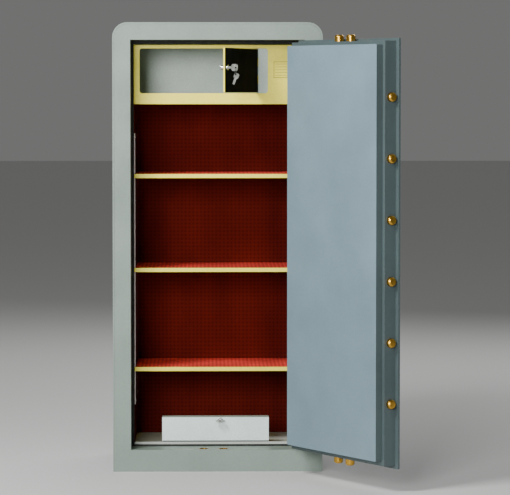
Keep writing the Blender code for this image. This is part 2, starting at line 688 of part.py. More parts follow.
def make_door(door):
    plate_y = (DOOR_FACE, DOOR_FACE + PLATE)
    plate_x = (DOOR_FREE_EDGE, DOOR_HINGE_EDGE)
    plate = box("door_plate", plate_x, plate_y, (DOOR_LOW, DOOR_HIGH), door, "door_paint")
    pocket_x = (DOOR_FREE_EDGE + PLATE_RIM, DOOR_HINGE_EDGE - PLATE_RIM)
    pocket_z = (DOOR_LOW + PLATE_RIM, DOOR_HIGH - PLATE_RIM)
    cut(plate, box("plate_pocket", pocket_x, (DOOR_FACE + PLATE_SKIN, DOOR_FACE + 0.02), pocket_z, door))
    for name, z, radius in (("handle", HANDLE_Z, SPINDLE), ("dial", DIAL_Z, DIAL_SPINDLE)):
        ends = (HANDLE_X, 0.0, z), (HANDLE_X, DOOR_FACE + 0.02, z)
        cut(plate, rod(f"{name}_hole", *ends, radius + 0.0007, door))

    box_y = (plate_y[1] + GAP, plate_y[1] + GAP + BOX_DEPTH)
    tray = box("bolt_box", BOX_X, box_y, BOX_Z, door, "door_paint")
    inner_x = (BOX_X[0] + BOX_WALL, BOX_X[1] - BOX_WALL)
    inner_z = (BOX_Z[0] + BOX_WALL, BOX_Z[1] - BOX_WALL)
    cut(tray, box("box_hollow", inner_x, (box_y[0] - 0.01, box_y[1] - BOX_FLOOR), inner_z, door))
    for i, z in enumerate(side_bolt_heights()):
        ends = (BOX_X[0] - 0.01, BOLT_Y, z), (BOX_X[0] + 0.01, BOLT_Y, z)
        cut(tray, rod(f"box_side_hole_{i}", *ends, BOLT_HOLE, door))
    for i, x in enumerate(END_BOLT_X):
        for end, z in (("low", BOX_Z[0]), ("high", BOX_Z[1])):
            ends = (x, BOLT_Y, z - 0.01), (x, BOLT_Y, z + 0.01)
            cut(tray, rod(f"box_{end}_hole_{i}", *ends, BOLT_HOLE, door))

    cover_y = (box_y[1] + GAP, box_y[1] + GAP + COVER_DEPTH)
    outline = rounded(COVER_X, COVER_Z, COVER_ROUND, COVER_ROUND)
    cover = sheet("inner_cover", outline, cover_y, door, "door_paint")
    hollow_x = (COVER_X[0] + COVER_SHEET, COVER_X[1] - COVER_SHEET)
    hollow_z = (COVER_Z[0] + COVER_SHEET, COVER_Z[1] - COVER_SHEET)
    hollow = rounded(hollow_x, hollow_z, COVER_ROUND - COVER_SHEET, COVER_ROUND - COVER_SHEET)
    cut(cover, sheet("cover_hollow", hollow, (cover_y[0] - 0.01, cover_y[1] - COVER_SHEET), door))
    board_x = (hollow_x[0] + 0.004, hollow_x[1] - 0.004)
    board_z = (hollow_z[0] + 0.004, hollow_z[1] - 0.004)
    box("door_fireboard", board_x, (cover_y[0], cover_y[1] - COVER_SHEET - GAP), board_z, door, "gypsum")


def make_hinges(front, door):
    for name, z in HINGE_HEIGHTS.items():
        axis = (HINGE_X, HINGE_DEPTH)
        low, high = z - HINGE_LENGTH, z + HINGE_LENGTH
        ends = (*axis, low), (*axis, z - GAP)
        frame_knuckle = rod(f"hinge_frame_{name}", *ends, KNUCKLE, front, "body_paint")
        pin = rod(f"{name}_pin", (*axis, z - 0.01), (*axis, high), HINGE_PIN, front)
        leaf_y = (-HINGE_SHEET - GAP, -GAP)
        leaf = box(f"{name}_frame_leaf", (HINGE_X, HINGE_X + HINGE_LEAF), leaf_y, (low, z - GAP), front)
        join(frame_knuckle, leaf, pin)

        door_knuckle = rod(f"hinge_door_{name}", (0, 0, z), (0, 0, high), KNUCKLE, door, "door_paint")
        door_leaf_y = (HINGE_BLOCK, DOOR_FACE - GAP)
        door_leaf = box(f"{name}_door_leaf", (-HINGE_LEAF, 0.0), door_leaf_y, (z, high), door)
        bore = rod(f"{name}_bore", (0, 0, z - 0.01), (0, 0, high + 0.01), HINGE_PIN + 0.0005, door)
        cut(join(door_knuckle, door_leaf), bore)


def bolt(name, tip, out, door, finish=None):
    """A locking bolt with a chamfered tip: out is the way it is thrown."""
    profile = [(0.0, 0.0), (BOLT - BOLT_CHAMFER, 0.0), (BOLT, -BOLT_CHAMFER)]
    profile += [(BOLT, -BOLT_LENGTH), (0.0, -BOLT_LENGTH)]
    return turned(name, profile, tip, out, door, finish)


def make_bolt_work(door):
    heights = side_bolt_heights()
    for i, z in enumerate(heights):
        bolt(f"side_bolt_{i + 1}", (SIDE_BOLT_TIP, BOLT_Y, z), (-1, 0, 0), door, "brass")
    bar_left = SIDE_BOLT_TIP + BOLT_LENGTH + GAP
    bar_z = (heights[-1] - 0.040, heights[0] + 0.040)
    side_bar = box("side_bolt_bar", (bar_left, bar_left + BAR), BAR_Y, bar_z, door, "bare_steel")
    arm_z = span(HANDLE_Z - CRANK, ROD / 2)
    join(side_bar, box("side_bar_arm", (bar_left + BAR / 2, HANDLE_X - 0.006), ROD_Y, arm_z, door))

    across = (END_BOLT_X[0] - 0.020, END_BOLT_X[1] + 0.020)
    ends = (
        ("top_bolts", TOP_BOLT_TIP, 1, HANDLE_X - CRANK),
        ("bottom_bolts", BOTTOM_BOLT_TIP, -1, HANDLE_X + CRANK),
    )
    for name, tip, way, rod_x in ends:
        near = tip - way * (BOLT_LENGTH - 0.001)
        far = near - way * BAR
        bar = box(name, across, BAR_Y, sorted((near, far)), door, "brass")
        bolts = [
            bolt(f"{name}_{i + 1}", (x, BOLT_Y, tip), (0, 0, way), door) for i, x in enumerate(END_BOLT_X)
        ]
        rod_z = sorted((near - way * BAR / 2, HANDLE_Z + way * 0.006))
        pull = box(f"{name}_rod", span(rod_x, ROD / 2), ROD_Y, rod_z, door)
        join(bar, *bolts, pull)


def make_handle(door):
    spindle_y = (DOOR_FACE - 0.0007, 0.0320)
    ends = (0, spindle_y[0], 0), (0, spindle_y[1], 0)
    hub = empty("handle_axis", (HANDLE_X, 0.0, HANDLE_Z), door)
    spindle = rod("handle_spindle", *ends, SPINDLE, hub, "bare_steel")
    crank = rod("handle_crank", (0, 0.0240, 0), (0, 0.0315, 0), CRANK + 0.008, hub)
    pins = [
        rod(f"crank_pin_{i}", (x, 0.0300, z), (x, 0.0340, z), 0.004, hub, sides=12)
        for i, (x, z) in enumerate(((-CRANK, 0), (CRANK, 0), (0, -CRANK)))
    ]
    join(spindle, crank, *pins)

    hub_back = DOOR_FACE - 0.0010
    profile = [(0.0, 0.048), (0.014, 0.047), (0.022, 0.041), (0.024, 0.030), (0.024, 0.012), (0.032, 0.004)]
    profile += [(0.034, 0.0), (0.0, 0.0)]
    handle = turned("handle", profile, (0, hub_back, 0), (0, -1, 0), hub, "chrome")
    spoke_y = hub_back - 0.028
    for i in range(3):
        angle = pi / 2 + i * 2 * pi / 3
        way = Vector((cos(angle), 0.0, sin(angle)))
        root = Vector((0.0, spoke_y, 0.0))
        end = root + way * 0.095
        join(handle, rod(f"spoke_{i}", root, end, 0.006, hub, sides=16))
        knob = [(0.0, 0.010), (0.006, 0.0088), (0.0098, 0.004), (0.0104, -0.002)]
        knob += [(0.0085, -0.010), (0.0, -0.014)]
        join(handle, turned(f"knob_{i}", knob, end, way, hub))


def make_dial(door):
    ring_y = DOOR_FACE - GAP - 0.004
    centre = (HANDLE_X, ring_y, DIAL_Z)
    ring("dial_ring", centre, (0, 1, 0), DIAL + 0.010, DIAL + 0.001, 0.008, door, "chrome")
    profile = [(0.0, 0.034), (0.013, 0.034), (0.016, 0.031), (0.018, 0.013), (0.030, 0.010), (DIAL, 0.004)]
    profile += [(DIAL, 0.0), (DIAL_SPINDLE, 0.0), (DIAL_SPINDLE, -0.0042), (0.0, -0.0042)]
    turned("dial", profile, (HANDLE_X, DOOR_FACE - 0.0006, DIAL_Z), (0, -1, 0), door, "black_paint")
    case_y = (DOOR_FACE + PLATE_SKIN + GAP, DOOR_FACE + 0.0380)
    box("lock_case", span(HANDLE_X, 0.030), case_y, span(DIAL_Z, 0.0425), door, "bare_steel")


clear_scene()
parts = new_collection("gun_safe")
cutters = new_collection("cutters")
cabinet_front = empty("cabinet_front", (0.0, -DEPTH / 2, 0.0))
door_axis = empty("door_axis", (HINGE_X, HINGE_DEPTH, 0.0), cabinet_front, DOOR_OPEN)

make_shell(cabinet_front)
make_strikes(cabinet_front)
make_lining(cabinet_front)
make_uprights(cabinet_front)
make_shelves(cabinet_front)
make_locker(cabinet_front)
make_locker_door(cabinet_front)
make_ammo_box(cabinet_front)
make_door(door_axis)
make_hinges(cabinet_front, door_axis)
make_bolt_work(door_axis)
make_handle(door_axis)
make_dial(door_axis)
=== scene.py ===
"""The gun safe's looks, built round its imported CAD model.

It makes finer meshes, small fittings, finishes, a camera and lights. Pieces are made in one of three frames:
the row's own, the main door's (X to the hinge, Y inwards) or the locker door's. Most sizes and places come
from the CAD nodes and the joints; what the CAD leaves to this script is named or given where it is made.
"""

import json
from math import cos, pi, radians, sin

import bmesh
import bpy
from mathutils import Matrix, Vector


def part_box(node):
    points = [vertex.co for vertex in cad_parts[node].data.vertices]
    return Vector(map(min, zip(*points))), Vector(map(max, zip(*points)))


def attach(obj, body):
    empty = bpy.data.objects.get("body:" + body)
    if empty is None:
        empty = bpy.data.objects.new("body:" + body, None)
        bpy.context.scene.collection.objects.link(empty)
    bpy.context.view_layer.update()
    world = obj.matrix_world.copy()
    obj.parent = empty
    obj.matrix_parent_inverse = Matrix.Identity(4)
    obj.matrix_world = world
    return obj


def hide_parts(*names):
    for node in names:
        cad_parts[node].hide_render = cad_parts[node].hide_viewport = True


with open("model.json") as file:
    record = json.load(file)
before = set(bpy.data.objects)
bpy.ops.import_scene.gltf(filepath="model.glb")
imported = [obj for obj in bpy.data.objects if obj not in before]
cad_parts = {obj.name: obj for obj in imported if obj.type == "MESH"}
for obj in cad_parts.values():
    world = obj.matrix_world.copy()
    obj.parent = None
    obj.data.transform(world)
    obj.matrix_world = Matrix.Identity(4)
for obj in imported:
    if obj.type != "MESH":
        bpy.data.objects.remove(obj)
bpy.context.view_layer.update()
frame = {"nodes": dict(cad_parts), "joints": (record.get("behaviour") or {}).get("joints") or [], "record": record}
joints = {joint["name"]: joint for joint in frame["joints"]}

SMOOTH = radians(40)
ROUND = 64  # sides of a turned piece
PROUD = 0.0002  # how far a small fitting sinks into what it sits on
END_BOLT_LENGTH = 0.075  # the top and bottom bolts, from the tip to the end of the shank
END_BAR_THICK = 0.006  # the bar that joins a pair of them
END_BAR_HALF = (0.0533, 0.0149)  # half that bar's width and depth
RULED_X = (0.1888, 0.2560)  # the ruled plate's sides on the locker's fascia
RULED_Z = (1.3155, 1.3716)  # its lower and upper edge

CAMERA_AT = (-0.0386, -9.5777, 1.2808)
CAMERA_PITCH = -3.25
CAMERA_YAW = -1.0
CAMERA_LENS = 197.85


# ---------------------------------------------------------------- frames


def turned_frame(hinge, inward):
    """The frame of a door: its origin on the hinge axis at floor height, Y along inward, Z up."""
    y = Vector(inward).normalized()
    x = Vector((y.y, -y.x, 0.0))
    z = Vector((0.0, 0.0, 1.0))
    at = Vector((hinge[0], hinge[1], 0.0))
    return Matrix.Translation(at) @ Matrix((x, y, z)).transposed().to_4x4()


ROW = Matrix.Identity(4)
DOOR = turned_frame(joints["door_hinge"]["pos_m"], joints["handle_turn"]["axis"])
LOCKER = turned_frame(joints["locker_door_hinge"]["pos_m"], joints["locker_key_turn"]["axis"])


def box_in(place, node):
    """Lowest and highest corner of a CAD node, measured in the frame place."""
    back = place.inverted()
    points = [back @ v.co for v in frame["nodes"][node].data.vertices]
    low = Vector([min(p[i] for p in points) for i in range(3)])
    high = Vector([max(p[i] for p in points) for i in range(3)])
    return low, high


def point_in(place, joint):
    """A joint's point, in the frame place."""
    return place.inverted() @ Vector(joints[joint]["pos_m"])


# ---------------------------------------------------------------- mesh making


def piece(name, bm, place, body, material, nodes=()):
    """An object for bm that rides on body, takes the given material, and stands for the CAD nodes."""
    bmesh.ops.recalc_face_normals(bm, faces=bm.faces)
    mesh = bpy.data.meshes.new(name)
    bm.to_mesh(mesh)
    bm.free()
    mesh.materials.append(material)
    mesh.shade_smooth()
    mesh.set_sharp_from_angle(angle=SMOOTH)
    obj = bpy.data.objects.new(name, mesh)
    obj.matrix_world = place
    bpy.context.scene.collection.objects.link(obj)
    weighted = obj.modifiers.new("even shading", "WEIGHTED_NORMAL")
    weighted.keep_sharp = True
    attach(obj, body)
    if nodes:
        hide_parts(*nodes)
    return obj


def soften(bm, width, segments=2, least=radians(35)):
    """Rounds the edges sharper than least."""
    sharp = [e for e in bm.edges if len(e.link_faces) == 2 and e.calc_face_angle(0.0) > least]
    bmesh.ops.bevel(
        bm, geom=sharp, offset=width, segments=segments, profile=0.5, affect="EDGES", clamp_overlap=True
    )


def refined(node, width, place, body, material):
    """A CAD node's shape with its flat faces merged, its edges rounded and its curves smooth."""
    bm = bmesh.new()
    bm.from_mesh(frame["nodes"][node].data)
    bmesh.ops.remove_doubles(bm, verts=bm.verts, dist=0.000002)
    bmesh.ops.dissolve_limit(bm, angle_limit=radians(0.5), verts=bm.verts, edges=bm.edges)
    bm.transform(place.inverted())
    soften(bm, width)
    return piece(f"{node}_finished", bm, place, body, material, [node])


def add_box(bm, low, high, width=0.0):
    """Adds a box to bm, its edges rounded by width."""
    low, high = Vector(low), Vector(high)
    part = bmesh.new()
    bmesh.ops.create_cube(part, size=1.0)
    bmesh.ops.scale(part, vec=high - low, verts=part.verts)
    bmesh.ops.translate(part, vec=(low + high) / 2, verts=part.verts)
    if width:
        soften(part, width)
    merge_in(bm, part)


def merge_in(bm, part, matrix=ROW):
    """Adds the faces of part to bm, and frees part."""
    mesh = bpy.data.meshes.new("part")
    part.to_mesh(mesh)
    part.free()
    mesh.transform(matrix)
    bm.from_mesh(mesh)
    bpy.data.meshes.remove(mesh)


def spin_round(bm, steps):
    """Turns what bm holds a full turn about Z."""
    geom = bm.verts[:] + bm.edges[:]
    bmesh.ops.spin(
        bm, geom=geom, cent=(0, 0, 0), axis=(0, 0, 1), angle=2 * pi, steps=steps, use_merge=True
    )


def lathe(profile, sides=ROUND):
    """A turned solid about Z: the profile is (radius, height) pairs."""
    bm = bmesh.new()
    verts = [bm.verts.new((r, 0.0, h)) for r, h in profile]
    for a, b in zip(verts, verts[1:]):
        bm.edges.new((a, b))
    spin_round(bm, sides)
    bmesh.ops.remove_doubles(bm, verts=bm.verts, dist=0.000005)
    return bm


def along(at, way):
    """The matrix that lays Z along way with its origin at at."""
    turn = Vector((0, 0, 1)).rotation_difference(Vector(way)).to_matrix().to_4x4()
    return Matrix.Translation(Vector(at)) @ turn


def corner(x, h, radius, start, stop, steps=5):
    """Points of a rounded corner of a profile, angles in degrees."""
    angles = [radians(start + (stop - start) * i / steps) for i in range(steps + 1)]
    return [(x + radius * cos(a), h + radius * sin(a)) for a in angles]


# ---------------------------------------------------------------- finishes


def add_node(mat, kind, inputs=None, **settings):
    """A shader node; an input that is given a socket is linked to it."""
    made = mat.node_tree.nodes.new(kind)
    for key, value in settings.items():
        setattr(made, key, value)
    for key, value in (inputs or {}).items():
        if isinstance(value, bpy.types.NodeSocket):
            mat.node_tree.links.new(value, made.inputs[key])
        else:
            made.inputs[key].default_value = value
    return made


def noise(mat, scale, detail=3.0, stretch=(1.0, 1.0, 1.0), roughness=0.5):
    """Noise in the object's own coordinates; scale is in waves a metre."""
    where = add_node(mat, "ShaderNodeTexCoord").outputs["Object"]
    laid = add_node(mat, "ShaderNodeMapping", {"Vector": where, "Scale": stretch})
    inputs = {"Vector": laid.outputs[0], "Scale": scale, "Detail": detail, "Roughness": roughness}
    return add_node(mat, "ShaderNodeTexNoise", inputs).outputs[0]


def ranged(mat, value, low, high, start=0.3, stop=0.7):
    """value from start to stop, spread over low to high."""
    inputs = {"Value": value, "From Min": start, "From Max": stop, "To Min": low, "To Max": high}
    return add_node(mat, "ShaderNodeMapRange", inputs).outputs[0]


def shaded(mat, colour, factor):
    """The colour times a varying factor."""
    inputs = {0: 1.0, 6: (*colour, 1.0), 7: factor}
    return add_node(mat, "ShaderNodeMix", inputs, data_type="RGBA", blend_type="MULTIPLY").outputs[2]


def mixed(mat, factor, first, second):
    inputs = {0: factor, 6: first, 7: (*second, 1.0)}
    return add_node(mat, "ShaderNodeMix", inputs, data_type="RGBA").outputs[2]


def math_node(mat, a, b, operation="MULTIPLY"):
    return add_node(mat, "ShaderNodeMath", {0: a, 1: b}, operation=operation).outputs[0]


def sine(mat, value):
    return add_node(mat, "ShaderNodeMath", {0: value}, operation="SINE").outputs[0]


def worn_edges(mat, radius, amount):
    """A mask that is up to amount along convex and concave edges, broken up by noise."""
    rounded = add_node(mat, "ShaderNodeBevel", {"Radius": radius}, samples=4).outputs[0]
    flat = add_node(mat, "ShaderNodeNewGeometry").outputs["Normal"]
    facing = add_node(mat, "ShaderNodeVectorMath", {0: rounded, 1: flat}, operation="DOT_PRODUCT")
    dot = facing.outputs["Value"]
    edge = ranged(mat, dot, amount, 0.0, 0.85, 0.999)
    return math_node(mat, edge, ranged(mat, noise(mat, 160, 4.0), 0.0, 1.0, 0.42, 0.62))


def finish(name, colour, roughness, metallic=0.0, **fixed):
    """A material whose Principled shader has these plain values."""
    mat = bpy.data.materials.new(name)
    mat.use_nodes = True
    shader = mat.node_tree.nodes["Principled BSDF"]
    shader.inputs["Base Color"].default_value = (*colour, 1.0)
    shader.inputs["Roughness"].default_value = roughness
    shader.inputs["Metallic"].default_value = metallic
    for key, value in fixed.items():
        shader.inputs[key.replace("_", " ")].default_value = value
    return mat


def plug(mat, key, value):
    mat.node_tree.links.new(value, mat.node_tree.nodes["Principled BSDF"].inputs[key])


def bumped(mat, height, depth, strength=1.0):
    """Bump of this height map; depth in metres."""
    made = add_node(mat, "ShaderNodeBump", {"Height": height, "Distance": depth, "Strength": strength})
    plug(mat, "Normal", made.outputs[0])


def paint(name, colour, roughness, grain, depth, wear=0.35, bare=(0.30, 0.30, 0.29), **fixed):
    """Sprayed paint: cloudy shade, orange peel of grain waves a metre, and thin worn edges."""
    mat = finish(name, colour, roughness, **fixed)
    cloud = ranged(mat, noise(mat, 5.0, 5.0), 0.90, 1.07)
    speck = ranged(mat, noise(mat, 120.0, 4.0), 0.95, 1.04)
    coloured = shaded(mat, colour, math_node(mat, cloud, speck))
    edge = worn_edges(mat, 0.0012, wear)
    plug(mat, "Base Color", mixed(mat, edge, coloured, bare))
    smear = ranged(mat, noise(mat, 14.0, 6.0), roughness - 0.06, roughness + 0.10)
    plug(mat, "Roughness", smear)
    bumped(mat, noise(mat, grain, 2.0), depth)
    return mat


def hammered(name, colour, roughness):
    """Hammered paint: small round dimples with lighter rims."""
    mat = finish(name, colour, roughness, metallic=0.15)
    where = add_node(mat, "ShaderNodeTexCoord").outputs["Object"]
    dimples = add_node(mat, "ShaderNodeTexVoronoi", {"Vector": where, "Scale": 330.0}, feature="SMOOTH_F1")
    cells = dimples.outputs[0]
    rim = ranged(mat, cells, 0.90, 1.06, 0.1, 0.7)
    cloud = ranged(mat, noise(mat, 9.0, 4.0), 0.92, 1.05)
    coloured = shaded(mat, colour, math_node(mat, rim, cloud))
    plug(mat, "Base Color", mixed(mat, worn_edges(mat, 0.0010, 0.3), coloured, (0.25, 0.25, 0.24)))
    plug(mat, "Roughness", ranged(mat, cells, roughness + 0.08, roughness - 0.05, 0.1, 0.7))
    bumped(mat, cells, 0.00022)
    return mat


def metal(name, colour, roughness, stretch=(1.0, 1.0, 1.0), scale=1400.0, tarnish=(0.82, 1.05)):
    """Polished or brushed metal: hairlines along the stretch, cloudy tarnish and finger marks."""
    mat = finish(name, colour, roughness, metallic=1.0)
    lines = noise(mat, scale, 2.0, stretch)
    cloud = ranged(mat, noise(mat, 45.0, 5.0), *tarnish)
    plug(mat, "Base Color", shaded(mat, colour, math_node(mat, cloud, ranged(mat, lines, 0.95, 1.04))))
    marks = ranged(mat, noise(mat, 60.0, 6.0), roughness - 0.04, roughness + 0.14)
    plug(mat, "Roughness", math_node(mat, marks, ranged(mat, lines, 0.85, 1.2)))
    bumped(mat, lines, 0.000012)
    return mat


def grooves(mat, where, scale):
    """Ribs of this many a metre along each axis, added up: high on the ribs and low between them."""
    axes = add_node(mat, "ShaderNodeSeparateXYZ", {0: where}).outputs
    ribs = [sine(mat, math_node(mat, axis, 2 * pi * scale)) for axis in axes]
    return math_node(mat, math_node(mat, ribs[0], ribs[1], "ADD"), ribs[2], "ADD")


def lining(name, colour):
    """Dark red pile cloth in small square ribs, with fluff and rubbed streaks."""
    mat = finish(name, colour, 0.95, Specular_IOR_Level=0.1)
    where = add_node(mat, "ShaderNodeTexCoord").outputs["Object"]
    ribs = ranged(mat, grooves(mat, where, 75.0), 0.0, 1.0, -2.0, 2.0)
    fluff = noise(mat, 700.0, 4.0)
    rubbed = ranged(mat, noise(mat, 7.0, 5.0, (1.0, 1.0, 0.35)), 0.75, 1.25)
    fleck = math_node(mat, ranged(mat, ribs, 0.72, 1.28, 0.2, 0.8), ranged(mat, fluff, 0.8, 1.2))
    plug(mat, "Base Color", shaded(mat, colour, math_node(mat, fleck, rubbed)))
    bumped(mat, math_node(mat, ribs, fluff, "ADD"), 0.0006, 0.8)
    return mat


def rubber(name, colour):
    mat = finish(name, colour, 0.75)
    grain = noise(mat, 1500.0, 3.0)
    plug(mat, "Base Color", shaded(mat, colour, ranged(mat, noise(mat, 30.0, 5.0), 0.6, 1.8)))
    plug(mat, "Roughness", ranged(mat, noise(mat, 80.0, 4.0), 0.62, 0.88))
    bumped(mat, grain, 0.00008)
    return mat


BODY = paint("body_paint", (0.215, 0.272, 0.234), 0.45, 300.0, 0.00010)
DOORS = paint("door_paint", (0.180, 0.265, 0.310), 0.42, 300.0, 0.00012)
# A darker copy of the door paint: painted shade on the inner cover's folded sides, and the finish of the bolt box
# and door plate.
SHADED_DOOR_PAINT = paint("door_paint_shaded_copy", (0.072, 0.102, 0.106), 0.42, 300.0, 0.00010)
CREAM = paint("cream_enamel", (1.0, 0.88, 0.10), 0.35, 300.0, 0.00004, wear=0.25, Specular_IOR_Level=0.25)
HAMMER = hammered("hammered_paint", (0.40, 0.47, 0.42), 0.40)
PALE_HAMMER = hammered("pale_hammered_paint", (0.78, 0.90, 0.86), 0.40)
RED = lining("red_lining", (0.085, 0.006, 0.003))
# A lighter copy of the red lining for the shelf mats: painted light on the up-facing cloth.
LIT_RED_LINING = lining("red_lining_painted_lit", (0.65, 0.055, 0.040))
STEEL = metal("bare_steel", (0.40, 0.41, 0.40), 0.34, (1.0, 1.0, 0.08))
BRASS = metal("brass_plate", (0.66, 0.38, 0.055), 0.24, (1.0, 1.0, 1.0), 900.0)
CHROME = metal("chrome_plate", (0.66, 0.67, 0.66), 0.20, (1.0, 1.0, 1.0), 1200.0, (0.8, 1.03))
SEAL = rubber("black_seal", (0.010, 0.012, 0.009))
# Key metal darkened below bare steel: painted dark reflection of the surroundings, on the keys and the key ring.
DARK_KEY_METAL = metal("key_metal_painted_dark", (0.24, 0.25, 0.23), 0.26, (1.0, 1.0, 1.0), 1000.0, (0.7, 1.25))
BLACK = paint(
    "black_paint",
    (0.002, 0.002, 0.002),
    0.80,
    500.0,
    0.00005,
    wear=0.4,
    bare=(0.02, 0.02, 0.02),
    Specular_IOR_Level=0.05,
)
RED_PAINT = paint(
    "red_paint", (0.060, 0.003, 0.002), 0.60, 380.0, 0.00005, wear=0.2, bare=(0.05, 0.01, 0.01)
)
STRIP = paint("strip_paint", (0.66, 0.58, 0.54), 0.42, 380.0, 0.00005)
FLOOR = paint("floor_paint", (0.50, 0.53, 0.48), 0.55, 260.0, 0.00008)
BOARD = paint("gypsum_board", (0.70, 0.68, 0.62), 0.90, 150.0, 0.0002, wear=0.0)

FINISHES = {
    "body_paint": BODY,
    "door_paint": DOORS,
    "cream_enamel": CREAM,
    "hammertone": HAMMER,
    "red_lining": RED,
    "bare_steel": STEEL,
    "brass": BRASS,
    "chrome": CHROME,
    "black_seal": SEAL,
    "black_paint": BLACK,
    "white_strip": STRIP,
    "red_paint": RED_PAINT,
    "grey_floor": FLOOR,
    "gypsum": BOARD,
}

SLOT_OF = {s["node"]: s["material_slot"] for s in frame["record"]["subparts"]}
BODY_OF = {node: body for body, nodes in frame["record"]["behaviour"]["bodies"].items() for node in nodes}

# Nodes that get a finer copy of their own shape: how far their edges are rounded, in metres.
ROUNDED = {
    "outer_shell": 0.0015,
    "back_panel": 0.0008,
    "base_plate": 0.0008,
    "front_frame": 0.0009,
    "strike_side": 0.0005,
    "strike_top": 0.0005,
    "strike_bottom": 0.0005,
    "door_seal": 0.0008,
    "inner_liner": 0.0004,
    "floor_plate": 0.0006,
    "upright_left_front": 0.0006,
    "upright_left_rear": 0.0006,
    "upright_right_front": 0.0006,
    "upright_right_rear": 0.0006,
    "shelf_upper": 0.0006,
    "shelf_middle": 0.0006,
    "shelf_lower": 0.0006,
    "locker_case": 0.0005,
    "locker_fascia": 0.0008,
    "locker_hinge": 0.0002,
    "locker_door_panel": 0.0006,
    "locker_door_skin": 0.0002,
    "locker_lock_barrel": 0.0004,
    "locker_cam": 0.0003,
    "ammo_case": 0.0004,
    "ammo_flap": 0.0006,
    "ammo_lock_barrel": 0.0004,
    "ammo_cam": 0.0003,
    "door_plate": 0.0012,
    "bolt_box": 0.0008,
    "lock_case": 0.0010,
    "side_bolt_bar": 0.0008,
    "handle_spindle": 0.0006,
    "dial_ring": 0.0010,
}

# Nodes that take a finish of their own within their slot; the bolt box and door plate take the darker copy of the
# door paint, which is painted shade on the cover's folded sides.
OWN_FINISH = {"bolt_box": SHADED_DOOR_PAINT, "door_plate": SHADED_DOOR_PAINT, "ammo_case": HAMMER, "ammo_flap": PALE_HAMMER}


def frame_for(body):
    """The frame that a body's finer copies are made in."""
    if body in ("door", "handle", "dial", "side_bolts", "top_bolts", "bottom_bolts"):
        return DOOR
    if body in ("locker_door", "locker_key", "key_ring", "spare_key"):
        return LOCKER
    return ROW


def refine_nodes():
    for node, width in ROUNDED.items():
        body = BODY_OF[node]
        slot = SLOT_OF[node]
        refined(node, width, frame_for(body), body, OWN_FINISH.get(node, FINISHES[slot]))


def make_cover():
    """The door's inner cover: its folded sides take the darker copy of the door paint, painted shade for the sides
    that face away from the light.
    """
    cover = refined("inner_cover", 0.0005, DOOR, "door", DOORS)
    cover.data.materials.append(SHADED_DOOR_PAINT)
    # Painted shade: the cover's folded sides, which face sideways, take the darker copy of the door paint.
    for face in cover.data.polygons:
        if abs(face.normal.y) < 0.5:
            face.material_index = 1


def paint_rest():
    """The CAD nodes that stay as they are get the same finishes."""
    for node, obj in frame["nodes"].items():
        for holder in obj.material_slots:
            holder.material = FINISHES[SLOT_OF[node]]


# ---------------------------------------------------------------- small fittings


def screw_head(radius, height):
    """A pan-head screw with a cross recess, its seat at Z = 0."""
    dome = [(radius * cos(a), height * sin(a)) for a in [radians(90 - 12 * i) for i in range(8)]]
    bm = lathe(dome + [(radius, 0.0), (0.0, 0.0)], 24)
    mesh = bpy.data.meshes.new("head")
    bmesh.ops.recalc_face_normals(bm, faces=bm.faces)
    bm.to_mesh(mesh)
    bm.free()
    head = bpy.data.objects.new("head", mesh)
    bpy.context.scene.collection.objects.link(head)
    arms = []
    for size in ((radius * 1.2, radius * 0.26), (radius * 0.26, radius * 1.2)):
        arm = bmesh.new()
        half_x, half_y = size[0] / 2, size[1] / 2
        add_box(arm, (-half_x, -half_y, height * 0.45), (half_x, half_y, height * 2))
        arm_mesh = bpy.data.meshes.new("arm")
        arm.to_mesh(arm_mesh)
        arm.free()
        cutter = bpy.data.objects.new("arm", arm_mesh)
        bpy.context.scene.collection.objects.link(cutter)
        step = head.modifiers.new("recess", "BOOLEAN")
        step.operation = "DIFFERENCE"
        step.object = cutter
        arms.append(cutter)
    shaped = head.evaluated_get(bpy.context.evaluated_depsgraph_get())
    result = bpy.data.meshes.new_from_object(shaped)
    for obj in (head, *arms):
        bpy.data.objects.remove(obj, do_unlink=True)
    return result


def screws(name, spots, radius, height, place, body, material):
    """One piece of several screws; spots are (position, direction) pairs in the frame place."""
    head = screw_head(radius, height)
    bm = bmesh.new()
    for at, way in spots:
        copy = head.copy()
        sunk = Vector(at) - Vector(way) * PROUD
        copy.transform(along(sunk, way))
        bm.from_mesh(copy)
        bpy.data.meshes.remove(copy)
    bpy.data.meshes.remove(head)
    return piece(name, bm, place, body, material)


def make_upright_screws():
    for side, way in (("left", 1), ("right", -1)):
        for where in ("front", "rear"):
            low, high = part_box(f"upright_{side}_{where}")
            x = high.x if way > 0 else low.x
            y = (low.y + high.y) / 2
            rows = (low.z + 0.0125, (low.z + high.z) / 2, high.z - 0.0125)
            spots = [((x, y, z), (way, 0, 0)) for z in rows]
            name = f"upright_screws_{side}_{where}"
            screws(name, spots, 0.0048, 0.0026, ROW, "cabinet", CHROME)


def make_ruled_plate():
    """The small plate on the locker's fascia: a thin frame round ruled lines, with nothing written on it."""
    left, right = RULED_X
    bottom, top = RULED_Z
    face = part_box("locker_fascia")[0].y
    bm = bmesh.new()
    add_box(bm, (left, face - 0.0006, bottom), (right, face + PROUD, top), 0.0002)
    piece("ruled_plate", bm, ROW, "cabinet", CREAM)
    lines = bmesh.new()
    bar = 0.0011
    front = face - 0.0009
    back = face - 0.0005
    for z in (bottom + 0.001, top - 0.001 - bar):
        add_box(lines, (left + 0.001, front, z), (right - 0.001, back, z + bar))
    for x in (left + 0.001, right - 0.001 - bar):
        add_box(lines, (x, front, bottom + 0.001 + bar), (x + bar, back, top - 0.001 - bar))
    count = 5
    for i in range(1, count + 1):
        z = bottom + (top - bottom) * i / (count + 1)
        add_box(lines, (left + 0.006, front, z - bar / 3), (right - 0.006, back, z + bar / 3))
    piece("ruled_plate_lines", lines, ROW, "cabinet", BLACK)


# ---------------------------------------------------------------- bolts


